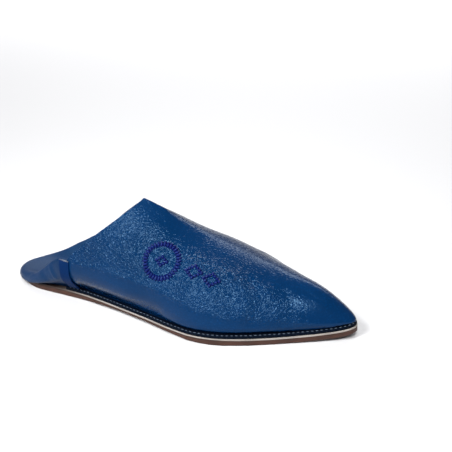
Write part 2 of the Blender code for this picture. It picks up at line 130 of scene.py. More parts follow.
# Plain leathers: width of a pebble of the grain and its height, in metres, then roughness
LINING_GRAIN = (0.0011, 0.00010, 0.60)
BACK_GRAIN = (0.0011, 0.00010, 0.38)
STRIP_GRAIN = (0.0009, 0.00006, 0.60)
RAND_GRAIN = (0.0009, 0.00022, 0.55)
INSOLE_GRAIN = (0.0012, 0.00008, 0.55)
# Cut edges: how much lighter their worn fibres are, then roughness
OUTSOLE_EDGE = (1.8, 0.45)
MIDSOLE_EDGE = (1.2, 0.60)

# Rounding of the rims, in metres, and how many times the surface is made finer
VAMP_FINISH = (0.00065, 2)
BACK_FINISH = (0.0006, 2)
TRIM_FINISH = (0.0003, 1)
RIM_ANGLE = math.radians(50)
# Triangles are joined to quads up to these angles between faces and in their shape
JOIN_ANGLES = (math.radians(60), math.radians(70))
# Seen sides with finer faces: both ends, inmost and lowest place, and how far faces may look inwards
VAMP_SEEN = (-0.075, 0.125, -0.005, 0.012, 0.0)
BACK_SEEN = (-0.125, 0.0, -0.012, 0.008, 0.2)

# Folds: height, below zero for a trough, and half width in metres; shape; points in mm
SOFT, CRISP, STEP = 2.0, 1.1, 0.0
SHOULDER = (
    (-75, -32, 34.4), (-65, -33, 35.0), (-46, -36, 35.9), (-28, -39, 34.8),
    (-10, -41, 33.2), (1, -42, 32.0), (16, -45, 29.7),
)
VAMP_FOLDS = (
    # Shoulder crease along the outer side, with a trough below it
    (0.00110, 0.0045, STEP, SHOULDER),
    (0.00030, 0.0030, CRISP, SHOULDER),
    (-0.00110, 0.0075, SOFT, (
        (-72, -29, 14), (-46, -33, 14), (-28, -36, 14), (-10, -39, 13.5), (2, -41, 13))),
    # Ridge over the instep
    (0.00060, 0.0050, CRISP, (
        (-26, 0, 82.5), (-12, -0.6, 77.9), (0, -0.9, 72.8), (12, -0.9, 67.6), (24, 0, 62.5))),
    # Forepart and toe on the outer side
    (0.00060, 0.0052, SOFT, ((59, -24, 43.6), (67, -29, 36.6), (70, -34.5, 29.4), (68, -40.4, 19.1))),
    (-0.00055, 0.0040, SOFT, ((68, -21, 41.7), (76, -26, 34.6), (78, -31.6, 27.2), (76, -36.6, 18.1))),
    (0.00050, 0.0042, SOFT, ((80, -19.4, 37.7), (89, -23, 30), (91, -26, 24.7), (88, -30.3, 17.4))),
    (-0.00045, 0.0040, SOFT, (
        (92, -14.7, 35.3), (98.6, -18.4, 28.9), (100.6, -21.3, 23.6), (98, -25, 17.6))),
    (-0.00035, 0.0024, CRISP, ((100, -6, 36.8), (106.5, -7.3, 33.9), (113, -7.9, 30.7), (123, -4.7, 26.4))),
    (0.00060, 0.0020, SOFT, (
        (97, -25.6, 17.7), (106.5, -20.8, 16.5), (119, -14.5, 15.2), (132, -7.7, 15.2))),
    # Inner side
    (0.00060, 0.0040, CRISP, (
        (-65, 33, 35.0), (-46, 36, 35.9), (-28, 39, 34.8), (-10, 41, 33.2), (8, 43, 31))),
    (-0.00080, 0.0075, SOFT, ((-72, 29, 14), (-46, 33, 14), (-28, 36, 14), (-6, 40, 13.5))),
    (0.00045, 0.0056, SOFT, ((62, 25, 42), (71, 30, 34), (72, 37, 24))),
    (-0.00045, 0.0046, SOFT, ((73, 22, 40), (81, 26, 32), (82, 32, 22))),
)
BACK_FOLDS = (
    # Crest, where the wall is folded down
    (0.00090, 0.0060, SOFT, ((-82, -29, 35), (-91.4, -27.6, 32), (-98.7, -26.3, 25.5), (-106, -24.9, 19))),
    (0.00080, 0.0017, CRISP, (
        (-86.5, -28.5, 34.8), (-91.4, -27.6, 32.5), (-95.1, -26.9, 29), (-98.7, -26.3, 26),
        (-102, -25.6, 23), (-106, -24.9, 19.5), (-111, -24.5, 16.2), (-118, -25, 12.4))),
    # Folds that run down beside the outer seam, and one on the inner side
    (0.00030, 0.0013, SOFT, ((-96, -29.8, 26), (-92.5, -31, 20), (-89, -31.5, 14), (-86, -31, 10))),
    (-0.00022, 0.0022, SOFT, ((-92, -30.5, 27), (-88, -32, 20), (-85.5, -32, 13))),
    (-0.00025, 0.0030, SOFT, ((-103, -28, 20), (-99, -30, 16), (-96, -30, 11))),
    (0.00045, 0.0022, SOFT, ((-92, 28, 30), (-98, 27, 24), (-106, 25, 18))),
)
# How far a step reaches away from its path, and fades beyond its ends, in metres
STEP_REACH = 0.026
STEP_FADE = 0.012
# Bulge of the forepart over the rand: half width and height over the ground, then rise and stations
BULGE = (0.0050, 0.0105)
BULGE_PARTS = (
    (0.00040, (0.40, 0.48, 0.56, 0.64, 0.72, 0.80, 0.88, 0.94)),
    (0.00040, (0.46, 0.56, 0.64, 0.72, 0.80, 0.88, 0.94)),
    (0.00040, (0.52, 0.60, 0.66, 0.72, 0.80, 0.88, 0.94)),
    (0.00030, (0.58, 0.66, 0.72, 0.80, 0.88, 0.94)),
)
# Slow unevenness of the vamp: its height and length, in metres
WAVE_HEIGHT = 0.00030
WAVE_LENGTH = 0.024
# Folds move the leather away from a line along the shoe at this height
AXIS_HEIGHT = 0.022
# Where the leather gets free to fold: two heights, then two places along the shoe, in metres
VAMP_FREE = (0.0077, 0.0105, -0.077, -0.067)
BACK_FREE = (0.007, 0.010, -0.076, -0.082)

# The inner seam's top is lowered: its middle and reach along the shoe, and the drop
INNER_SEAM = (-0.091, 0.018, 0.0038)
# The drop grows from the first to the second of these places, across the shoe and upwards
DROP_ACROSS = (0.008, 0.020)
DROP_UPWARDS = (0.014, 0.031)
# Fall of the outer strip's top towards the toe, and the heights between which it sets in
STRIP_SLANT = 0.26
STRIP_TOP = (0.024, 0.034)
# How far the strips' lower ends are drawn down and in, and the heights between which that sets in
STRIP_END = (0.0021, 0.0014)
STRIP_FOOT = (0.0135, 0.0105)

# The leather is stretched smooth below this height: place along the shoe and height, in metres
SMOOTH_BELOW = (
    (-0.080, 0.0350), (-0.046, 0.0350), (-0.010, 0.0325), (0.016, 0.0285), (0.035, 0.0245),
    (0.050, 0.0215), (0.070, 0.0180), (0.100, 0.0165), (0.130, 0.0150),
)
# The grain is weakest at the first place and whole at the second; the third value is what is left of it
LOW_GRAIN = (-0.004, 0.002, 0.20)
RIDGE_GRAIN = (0.010, 0.026, 0.40)
TOE_GRAIN = (0.120, 0.085, 0.45)
# The lining ends here along the shoe, and covers the faces that turn inwards by more than this cosine
LINING_END = 0.115
LINING_FACING = -0.35

# The pale layer is stained dark behind the first place, along the shoe, and bare past the second
HEEL_STAIN = (-0.100, -0.050)
# Below these heights it is also stained behind the first place, and bare past the second
STAIN_HEIGHT = (0.0043, 0.0048)
WAIST_STAIN = (0.050, 0.085)

# Thread that whips the top of a strip
WHIP = {
    "Pitch": 0.0008, "Length": 0.0015, "Width": 0.0005, "Height": 0.0004,
    "Turn": math.pi / 2, "Unevenness": 0.35,
}
# Top of a strip: how deep it is searched, how far from its ends, and how far beside each point
CROWN_DEPTH = 0.006
CROWN_END = 0.0006
CROWN_REACH = 0.0009
# The stitches of the rand start this far from its ends, and their height is this share of their width
STITCH_START = 0.004
STITCH_HEIGHT = 0.8

# Corners of the ornament's ring, which are too many to be seen, and steps between two corners
RING_CORNERS = 40
CORNER_STEPS = 8
# Lozenges of the ornament, from the middle of the ring: along, up, and half length
LOZENGES = ((0.0, 0.0, 0.0040), (0.0262, -0.0030, 0.0058), (0.0402, -0.0062, 0.0058))
# A lozenge's height as a share of its length, and the width of its band as a share of the ring's
LOZENGE_HEIGHT = 0.8
LOZENGE_BAND = 0.62
# Width of a bar as a share of the pitch; its height as a share of the rise, as half of it is sunk
BAR_WIDTH = 1.02
BAR_HEIGHT = 1.8
BAR_UNEVENNESS = 0.05
SATIN_ROUGHNESS = 0.38
# The ornament is laid on the leather from these distances: its middle, then each point
FAR_OUTSIDE = 0.1
JUST_OUTSIDE = 0.03


# Settings

def colour(name, description, value):
    """Colour property, linear."""
    return FloatVectorProperty(
        name=name, description=description, default=value,
        subtype="COLOR", size=3, min=0.0, max=1.0,
    )


def length(name, description, value):
    """Length property in metres."""
    return FloatProperty(
        name=name, description=description, default=value,
        subtype="DISTANCE", unit="LENGTH", min=0.0, precision=5,
    )


def share(name, description, value):
    """Property that runs from 0 to 1."""
    return FloatProperty(
        name=name, description=description, default=value,
        subtype="FACTOR", min=0.0, max=1.0,
    )


def power(name, description, value):
    """Power of a light in watts."""
    return FloatProperty(name=name, description=description, default=value, unit="POWER", min=0.0)


class LeatherSettings(bpy.types.PropertyGroup):
    vamp: colour("Vamp", "Colour of the grained front leather", (0.0002, 0.0180, 0.069))
    back: colour("Back", "Colour of the folded back", (0.0006, 0.0170, 0.064))
    strip: colour("Seam strip", "Colour of the strips over the side seams", (0.0002, 0.0130, 0.066))
    rand: colour("Rand", "Colour of the stitched strip round the sole", (0.0003, 0.0008, 0.0045))
    lining: colour("Lining", "Colour of the leather inside", (0.30, 0.175, 0.085))
    midsole: colour("Midsole", "Colour of the pale raw edge", (0.33, 0.30, 0.275))
    stain: colour("Stained heel", "Colour of the pale layer round the heel", (0.030, 0.017, 0.013))
    outsole: colour("Outsole", "Colour of the sole leather", (0.036, 0.0135, 0.0080))
    grain_size: length("Grain size", "Width of one pebble of the grain", 0.0021)
    grain_depth: length("Grain depth", "Height of the pebbles", 0.00042)
    roughness: share("Roughness", "Roughness of the polished leather", 0.15)


class StitchSettings(bpy.types.PropertyGroup):
    pale: colour("Pale thread", "Colour of the thread round the sole", (0.16, 0.20, 0.26))
    raw: colour("Raw thread", "Colour of the whipped top of the seam strips", (0.30, 0.32, 0.36))
    pitch: length("Pitch", "Distance from stitch to stitch round the sole", 0.0034)
    span: length("Length", "Length of one stitch round the sole", 0.0020)
    width: length("Width", "Width of the thread", 0.0006)
    inset: length("Inset", "Distance of the stitches from the rand's outer side", 0.0011)


class OrnamentSettings(bpy.types.PropertyGroup):
    thread: colour("Thread", "Colour of the satin stitch", (0.0030, 0.0062, 0.100))
    radius: length("Radius", "Outer radius of the ring", 0.0155)
    band: length("Band", "Width of the stitched band", 0.0050)
    rise: length("Rise", "Height of the stitches over the leather", 0.0016)
    pitch: length("Pitch", "Distance from bar to bar", 0.0024)
    x: length("Place along the shoe", "Middle of the ring, from the origin", 0.0030)
    z: length("Height", "Middle of the ring over the ground", 0.0500)


class StageSettings(bpy.types.PropertyGroup):
    floor: colour("Floor", "Colour of the floor", (0.62, 0.62, 0.63))
    sky: FloatProperty(name="Sky", description="Strength of the even light", default=0.19, min=0.0)
    key: power("Key", "Power of the main soft light", 0.9)
    high: power("High", "Power of the soft light above", 2.4)
    front: power("Front", "Power of the soft light in front", 1.9)
    back: power("Back", "Power of the light over the floor behind", 66.0)


class SlipperSettings(bpy.types.PropertyGroup):
    leather: PointerProperty(type=LeatherSettings, name="Leather", description="Leather of the slipper")
    stitch: PointerProperty(type=StitchSettings, name="Stitches", description="Stitches of the slipper")
    ornament: PointerProperty(
        type=OrnamentSettings, name="Ornament", description="Ornament on the outer side")
    stage: PointerProperty(type=StageSettings, name="Stage", description="Floor and lights")


# Outline

class Curve:
    """Smooth reading of one row of the sole's table, with no overshoot between stations."""

    def __init__(self, stations, values):
        self.x = np.array(stations)
        self.y = np.array(values)
        step = np.diff(self.x)
        slope = np.diff(self.y) / step
        self.m = np.zeros(len(self.x))
        self.m[0], self.m[-1] = slope[0], slope[-1]
        for i in range(1, len(slope)):
            before, after = slope[i - 1], slope[i]
            if before * after > 0:
                wide = 2 * step[i] + step[i - 1]
                near = step[i] + 2 * step[i - 1]
                self.m[i] = (wide + near) / (wide / before + near / after)

    def __call__(self, x):
        x = min(max(float(x), self.x[0]), self.x[-1])
        i = min(int(np.searchsorted(self.x, x, side="right")) - 1, len(self.x) - 2)
        h = self.x[i + 1] - self.x[i]
        s = (x - self.x[i]) / h
        value = (2 * s**3 - 3 * s**2 + 1) * self.y[i] + (3 * s**2 - 2 * s**3) * self.y[i + 1]
        return value + h * ((s**3 - 2 * s**2 + s) * self.m[i] + (s**3 - s**2) * self.m[i + 1])


SOLE = {name: Curve(SOLE_TABLE["station"], row) for name, row in SOLE_TABLE.items()}


def round_end(s):
    """Quarter circle from 0 at s = 0 to 1 at s = 1, and level after that."""
    s = min(max(s, 0.0), 1.0)
    return math.sqrt(s * (2 - s))


def station_x(t):
    return (t - 0.5) * SOLE_LENGTH + HEEL_OVERHANG / 2


def x_station(x):
    return (x - HEEL_OVERHANG / 2) / SOLE_LENGTH + 0.5


def tip_station(inset):
    """Station where an outline inside the sole's edge ends at the toe."""
    return 1 - TIP_INSET * inset / SOLE_LENGTH


def lift(t):
    """Rise of the sole towards the toe."""
    return TOE_SPRING * SOLE["spring"](t)


def edge(t, side, inset, z):
    """Point at a station on the outline that lies an inset inside the sole's edge."""
    half_width = SOLE["half_width"]
    rise = (half_width(t + SLOPE_STEP) - half_width(t - SLOPE_STEP)) * BALL_WIDTH / 2
    slant = math.hypot(1.0, rise / (2 * SLOPE_STEP * SOLE_LENGTH))
    wide = half_width(t) * BALL_WIDTH / 2 - inset * slant
    back, tip = inset / SOLE_LENGTH, tip_station(inset)
    heel = round_end((t - back) / (HEEL_ROUND / SOLE_LENGTH - back))
    toe = round_end((tip - t) / (tip - 1 + TOE_ROUND / SOLE_LENGTH))
    return Vector((station_x(t), TOE_SWING * SOLE["swing"](t) + side * wide * heel * toe, z + lift(t)))


def outline_path(start, inset, z, steps=160):
    """Points round the toe, from a station on the outer side to the same on the inner."""
    tip = tip_station(inset)
    near = []
    for i in range(steps + 1):
        s = math.sin(math.pi / 2 * i / steps)
        near.append(start + (tip - start) * s)
    path = [edge(t, OUTER, inset, z) for t in near]
    return path + [edge(t, INNER, inset, z) for t in reversed(near[:-1])]


# Node trees

class Graph:
    """Short way to add nodes to a tree and join them."""

    def __init__(self, tree):
        self.tree = tree

    def add(self, kind, inputs=None, **settings):
        node = self.tree.nodes.new(kind)
        for name, value in settings.items():
            setattr(node, name, value)
        for name, value in (inputs or {}).items():
            self.put(node.inputs[name], value)
        return node

    def put(self, socket, value):
        if isinstance(value, bpy.types.NodeSocket):
            self.tree.links.new(value, socket)
        else:
            socket.default_value = value

    def math(self, operation, a, b=0.0, c=0.0):
        return self.add("ShaderNodeMath", {0: a, 1: b, 2: c}, operation=operation).outputs[0]

    def vector(self, operation, a, b=None, scale=None):
        inputs = {0: a}
        if b is not None:
            inputs[1] = b
        if scale is not None:
            inputs["Scale"] = scale
        return self.add("ShaderNodeVectorMath", inputs, operation=operation).outputs[0]

    def combine(self, x=0.0, y=0.0, z=0.0):
        return self.add("ShaderNodeCombineXYZ", {0: x, 1: y, 2: z}).outputs[0]

    def ramp(self, value, low, high):
        node = self.add(
            "ShaderNodeMapRange", {0: value, 1: low, 2: high, 3: 0.0, 4: 1.0},
            interpolation_type="SMOOTHSTEP",
        )
        return node.outputs[0]

    def blend(self, factor, a, b):
        node = self.add("ShaderNodeMix", {0: factor, 6: a, 7: b}, data_type="RGBA")
        return node.outputs[2]

    def noise(self, vector, scale, detail=2.0, rough=0.5):
        return self.add(
            "ShaderNodeTexNoise",
            {"Vector": vector, "Scale": scale, "Detail": detail, "Roughness": rough},
        ).outputs

    def cells(self, vector, scale):
        node = self.add(
            "ShaderNodeTexVoronoi", {"Vector": vector, "Scale": scale},
            feature="DISTANCE_TO_EDGE",
        )
        return node.outputs["Distance"]


def group(name, inputs, outputs, fill):
    """Shader node group, built once; fill(graph, sources) returns its outputs."""
    if name in bpy.data.node_groups:
        return bpy.data.node_groups[name]
    tree = bpy.data.node_groups.new(name, "ShaderNodeTree")
    for label, kind, value in inputs:
        socket = tree.interface.new_socket(label, in_out="INPUT", socket_type=kind)
        if value is not None:
            socket.default_value = value
    for label, kind in outputs:
        tree.interface.new_socket(label, in_out="OUTPUT", socket_type=kind)
    graph = Graph(tree)
    sources = graph.add("NodeGroupInput").outputs
    sink = graph.add("NodeGroupOutput")
    for label, value in fill(graph, sources).items():
        graph.put(sink.inputs[label], value)
    return tree


def grain_group():
    """Pebbled grain of drummed leather, with small pebbles and pores on the large ones."""
    def fill(g, source):
        scaled = g.vector("SCALE", source["Vector"], scale=g.math("DIVIDE", 1.0, source["Size"]))
        shift = g.vector("SUBTRACT", g.noise(scaled, 0.45)["Color"], (0.5, 0.5, 0.5))
        warped = g.vector("ADD", scaled, g.vector("SCALE", shift, scale=1.5))
        pebble = g.ramp(g.cells(warped, 1.0), -0.06, 0.52)
        small = g.ramp(g.cells(warped, 2.3), 0.0, 0.24)
        fine = g.noise(scaled, 5.0, 3.0)["Fac"]
        high = g.math("MULTIPLY_ADD", small, 0.08, pebble)
        high = g.math("MULTIPLY_ADD", fine, 0.06, high)
        tone = g.noise(g.vector("SCALE", scaled, scale=0.045), 1.0, 3.0, 0.6)["Fac"]
        return {"Height": high, "Valley": g.math("SUBTRACT", 1.0, pebble), "Tone": tone}

    return group(
        "Leather grain",
        (("Vector", "NodeSocketVector", None), ("Size", "NodeSocketFloat", 0.0016)),
        (("Height", "NodeSocketFloat"), ("Valley", "NodeSocketFloat"), ("Tone", "NodeSocketFloat")),
        fill,
    )


def fibre_group():
    """Layered fibres of a cut leather edge, which run along the ground."""
    def fill(g, source):
        flat = g.vector("MULTIPLY", source["Vector"], (120.0, 120.0, 2600.0))
        layers = g.noise(flat, 1.0, 4.0, 0.6)["Fac"]
        speck = g.noise(source["Vector"], 1400.0, 2.0)["Fac"]
        patches = g.noise(source["Vector"], 70.0, 3.0)["Fac"]
        return {"Height": g.math("ADD", layers, g.math("MULTIPLY", speck, 0.5)),
                "Streak": g.ramp(layers, 0.35, 0.7), "Patch": g.ramp(patches, 0.35, 0.7)}

    return group(
        "Cut leather edge",
        (("Vector", "NodeSocketVector", None),),
        (("Height", "NodeSocketFloat"), ("Streak", "NodeSocketFloat"), ("Patch", "NodeSocketFloat")),
        fill,
    )


def strand_group():
    """Strands of a twisted thread."""
    def fill(g, source):
        strands = g.add(
            "ShaderNodeTexWave",
            {"Vector": g.vector("MULTIPLY", source["Vector"], (0.55, 1.0, 1.0)),
             "Scale": 1.3, "Distortion": 0.6, "Detail": 1.0},
            bands_direction="DIAGONAL",
        )
        return {"Strands": strands.outputs["Fac"]}

    return group(
        "Twisted strands",
        (("Vector", "NodeSocketVector", None),),
        (("Strands", "NodeSocketFloat"),),
        fill,
    )


# Materials

def new_material(name):
    material = bpy.data.materials.new(name)
    material.use_nodes = True
    graph = Graph(material.node_tree)
    return material, graph, material.node_tree.nodes["Principled BSDF"]


def use(graph, tree, **inputs):
    """Put a node group into a tree and return its outputs."""
    node = graph.add("ShaderNodeGroup", node_tree=tree)
    for name, value in inputs.items():
        graph.put(node.inputs[name], value)
    return node.outputs


def shade(base, factor=1.0, more=0.0):
    """Lighter or darker tone of a colour, with its alpha."""
    return (*[min(1.0, c * factor + more) for c in base], 1.0)


def leather(name, base, size, depth, roughness, gloss=POLISHED, masked=False):
    """Polished grained leather; masked reads how strong the grain is from the mesh."""
    material, g, shader = new_material(name)
    place = g.add("ShaderNodeTexCoord").outputs["Object"]
    grain = use(g, grain_group(), Vector=place, Size=size)
    tint = g.blend(g.ramp(grain["Tone"], 0.30, 0.70), shade(base), shade(base, 1.25, 0.001))
    tint = g.blend(g.math("MULTIPLY", grain["Valley"], 0.45), tint, shade(base, 0.55))
    g.put(shader.inputs["Base Color"], tint)
    rough = g.math("MULTIPLY_ADD", grain["Valley"], 0.10, roughness)
    rough = g.math("MULTIPLY_ADD", g.math("SUBTRACT", grain["Tone"], 0.5), 0.12, rough)
    g.put(shader.inputs["Roughness"], rough)
    shader.inputs["Specular IOR Level"].default_value = gloss
    shader.inputs["Specular Tint"].default_value = shade(SHEEN_TINT)
    height = grain["Height"]
    if masked:
        strength = g.add("ShaderNodeAttribute", attribute_name="grain").outputs["Fac"]
        height = g.math("MULTIPLY", height, strength)
    bump = g.add("ShaderNodeBump", {"Height": height, "Strength": 1.0, "Distance": depth})
    g.put(shader.inputs["Normal"], bump.outputs["Normal"])
    return material


def cut_edge(name, base, wear, roughness, stain=None):
    """Cut and burnished edge of sole leather, which may be stained behind."""
    material, g, shader = new_material(name)
    place = g.add("ShaderNodeTexCoord").outputs["Object"]
    fibre = use(g, fibre_group(), Vector=place)
    tint = g.blend(fibre["Streak"], shade(base), shade(base, wear))
    tint = g.blend(g.math("MULTIPLY", fibre["Patch"], 0.45), tint, shade(base, 0.5))
    if stain is not None:
        split = g.add("ShaderNodeSeparateXYZ", {0: place}).outputs
        bare = g.math("MAXIMUM", g.ramp(split["Z"], *STAIN_HEIGHT), g.ramp(split["X"], *WAIST_STAIN))
        bare = g.math("MULTIPLY", bare, g.ramp(split["X"], *HEEL_STAIN))
        tint = g.blend(bare, shade(stain), tint)
    g.put(shader.inputs["Base Color"], tint)
    g.put(shader.inputs["Roughness"], g.math("MULTIPLY_ADD", fibre["Streak"], 0.2, roughness))
    shader.inputs["Specular IOR Level"].default_value = CUT_EDGE_GLOSS
    bump = g.add("ShaderNodeBump", {"Height": fibre["Height"], "Strength": 0.6, "Distance": 0.00015})
    g.put(shader.inputs["Normal"], bump.outputs["Normal"])
    return material


def thread(name, base, roughness=0.5):
    """Twisted thread; the stitch carries its own place in the attribute fibre."""
    material, g, shader = new_material(name)
    fibre = g.add("ShaderNodeAttribute", attribute_name="fibre").outputs["Vector"]
    strands = use(g, strand_group(), Vector=fibre)["Strands"]
    g.put(shader.inputs["Base Color"], g.blend(strands, shade(base, 0.45), shade(base)))
    shader.inputs["Roughness"].default_value = roughness
    shader.inputs["Specular IOR Level"].default_value = THREAD_GLOSS
    shader.inputs["Specular Tint"].default_value = shade(SHEEN_TINT)
    bump = g.add("ShaderNodeBump", {"Height": strands, "Strength": 0.7, "Distance": 0.0001})
    g.put(shader.inputs["Normal"], bump.outputs["Normal"])
    return material


# Meshes

def merged(node):
    """Merged copy of a solid's mesh, with its triangles joined to quads."""
    between_faces, in_shape = JOIN_ANGLES
    work = bmesh.new()
    work.from_mesh(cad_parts[node].data)
    bmesh.ops.remove_doubles(work, verts=work.verts, dist=1e-6)
    bmesh.ops.join_triangles(
        work, faces=work.faces, angle_face_threshold=between_faces, angle_shape_threshold=in_shape)
    return work


def place_mesh(name, mesh, *materials):
    """Object at the origin that holds a mesh and its materials."""
    mesh.name = name
    piece = bpy.data.objects.new(name, mesh)
    bpy.context.scene.collection.objects.link(piece)
    mesh.materials.clear()
    for material in materials:
        mesh.materials.append(material)
    return piece


def baked(piece):
    """Mesh of a piece with its modifiers applied."""
    bpy.context.view_layer.update()
    graph = bpy.context.evaluated_depsgraph_get()
    return bpy.data.meshes.new_from_object(piece.evaluated_get(graph), depsgraph=graph)


def refined(node, name, rounding, levels):
    """Copy of a solid with rounded rims and a finer, smooth surface."""
    work = merged(node)
    rims = [e for e in work.edges if len(e.link_faces) == 2 and e.calc_face_angle() > RIM_ANGLE]
    bmesh.ops.bevel(
        work, geom=rims, offset=rounding, offset_type="OFFSET", segments=2,
        profile=0.5, affect="EDGES", clamp_overlap=True,
    )
    mesh = bpy.data.meshes.new(name)
    work.to_mesh(mesh)
    work.free()
    rough = place_mesh(name + "_rough", mesh)
    finer = rough.modifiers.new("Finer", "SUBSURF")
    finer.levels = finer.render_levels = levels
    result = baked(rough)
    bpy.data.objects.remove(rough)
    result.shade_smooth()
    return result


def densify(mesh, start, end, inmost, lowest, inwards):
    """Split the faces of the outer side that lie inside these limits."""
    def seen(face):
        middle = face.calc_center_median()
        return (face.normal.y < inwards and start < middle.x < end
                and middle.y < inmost and middle.z > lowest)

    work = bmesh.new()
    work.from_mesh(mesh)
    edges = {e for f in work.faces if seen(f) for e in f.edges}
    bmesh.ops.subdivide_edges(work, edges=list(edges), cuts=1, use_grid_fill=True)
    work.to_mesh(mesh)
    work.free()


def corners(mesh):
    """Places of a mesh's points, one row each."""
    values = np.zeros(len(mesh.vertices) * 3, np.float32)
    mesh.vertices.foreach_get("co", values)
    return values.reshape(-1, 3)


def move_corners(mesh, place):
    mesh.vertices.foreach_set("co", place.astype(np.float32).ravel())
    mesh.update()


def attribute(mesh, name, values):
    """Number at each point of a mesh, for its material."""
    field = mesh.attributes.new(name, "FLOAT", "POINT")
    field.data.foreach_set("value", np.asarray(values, np.float32))


def ease(values, low, high):
    """Smooth rise from 0 at low to 1 at high; low may be the larger one."""
    s = np.clip((values - low) / (high - low), 0.0, 1.0)
    return s * s * (3 - 2 * s)


def weakened(values, low, high, least):
    """Smooth rise from a least share at low to 1 at high."""
    return least + (1 - least) * ease(values, low, high)


def free(place, low, high, start, end):
    """How free the leather is to fold: 0 where it is sewn down, 1 away from there."""
    return ease(place[:, 2], low, high) * ease(place[:, 0], start, end)


def outward(points):
    """Direction of each point away from the line along the shoe."""
    away = points.astype(np.float64)
    away[:, 0] = 0.0
    away[:, 2] -= AXIS_HEIGHT
    return away / np.maximum(np.linalg.norm(away, axis=1), 1e-6)[:, None]


def distance_to_path(points, path):
    """Distance of each point to a polyline."""
    best = np.full(len(points), 1e9)
    for a, b in zip(path, path[1:]):
        span = b - a
        s = np.clip((points - a) @ span / (span @ span), 0.0, 1.0)
        best = np.minimum(best, np.linalg.norm(points - (a + s[:, None] * span), axis=1))
    return best


def fold_shape(place, height, half_width, shape, points):
    """Outward shift of one fold; a step draws in the leather over its path and fades far from it."""
    path = np.array(points) / 1000
    away = distance_to_path(place, path)
    if shape != STEP:
        return height * np.exp(-(away / half_width) ** shape)
    along = place[:, 0]
    start, end = path[0, 0], path[-1, 0]
    over = place[:, 2] > np.interp(along, path[:, 0], path[:, 2])
    ends = ease(along, start - STEP_FADE, start) * ease(along, end + STEP_FADE, end)
    return -height * over * ends * (1 - np.exp(-away / half_width)) * np.exp(-(away / STEP_REACH) ** 2)


def fold_leather(mesh, folds, limits, wave=0.0):
    """Shift both faces of a wall outwards by the listed folds and a slow unevenness."""
    place = corners(mesh).astype(np.float64)
    shift = np.zeros(len(place))
    for fold in folds:
        shift += fold_shape(place, *fold)
    if wave:
        shift += wave * np.array([noise.noise(Vector(p) / WAVE_LENGTH) for p in place])
    place += outward(place) * (shift * free(place, *limits))[:, None]
    move_corners(mesh, place)


def forepart_bulges():
    """Folds that swell the leather over the rand, on both sides."""
    half_width, z = BULGE
    bulges = []
    for rise, stations in BULGE_PARTS:
        for side in (OUTER, INNER):
            points = [edge(t, side, RAND_WIDTH, z - lift(t)) * 1000 for t in stations]
            bulges.append((rise, half_width, SOFT, points))
    return tuple(bulges)


def settle(mesh):
    """Lower the top of the inner seam."""
    place = corners(mesh).astype(np.float64)
    middle, reach, drop = INNER_SEAM
    near = np.exp(-((place[:, 0] - middle) / reach) ** 2)
    place[:, 2] -= drop * near * ease(place[:, 1], *DROP_ACROSS) * ease(place[:, 2], *DROP_UPWARDS)
    move_corners(mesh, place)


def reach_down(mesh):
    """Lengthen the lower end of a strip down to the rand, along the wall."""
    place = corners(mesh).astype(np.float64)
    low = ease(place[:, 2], *STRIP_FOOT)
    drop, draw_in = STRIP_END
    place[:, 2] -= drop * low
    place[:, 1] -= draw_in * low * np.sign(place[:, 1])
    move_corners(mesh, place)


def slant_top(mesh):
    """Let the top of a strip fall towards the toe."""
    place = corners(mesh).astype(np.float64)
    middle = (place[:, 0].min() + place[:, 0].max()) / 2
    place[:, 2] -= STRIP_SLANT * (place[:, 0] - middle) * ease(place[:, 2], *STRIP_TOP)
    move_corners(mesh, place)


def weaken_grain(mesh):
    """Store how strong the grain is: less over the ridge, on the toe and low on the wall."""
    place = corners(mesh)
    smooth = np.interp(place[:, 0], *np.transpose(SMOOTH_BELOW))
    ridge = weakened(np.abs(place[:, 1]), *RIDGE_GRAIN)
    toe = weakened(place[:, 0], *TOE_GRAIN)
    attribute(mesh, "grain", ridge * toe * weakened(place[:, 2] - smooth, *LOW_GRAIN))


def lining_faces(mesh):
    """Faces that look inwards get the second material."""
    normals = np.zeros(len(mesh.polygons) * 3, np.float32)
    centres = np.zeros(len(mesh.polygons) * 3, np.float32)
    mesh.polygons.foreach_get("normal", normals)
    mesh.polygons.foreach_get("center", centres)
    normals, centres = normals.reshape(-1, 3), centres.reshape(-1, 3)
    facing = (normals * outward(centres)).sum(1)
    inside = (facing < LINING_FACING) & (centres[:, 0] < LINING_END)
    mesh.polygons.foreach_set("material_index", inside.astype(np.int32))


# Stitches

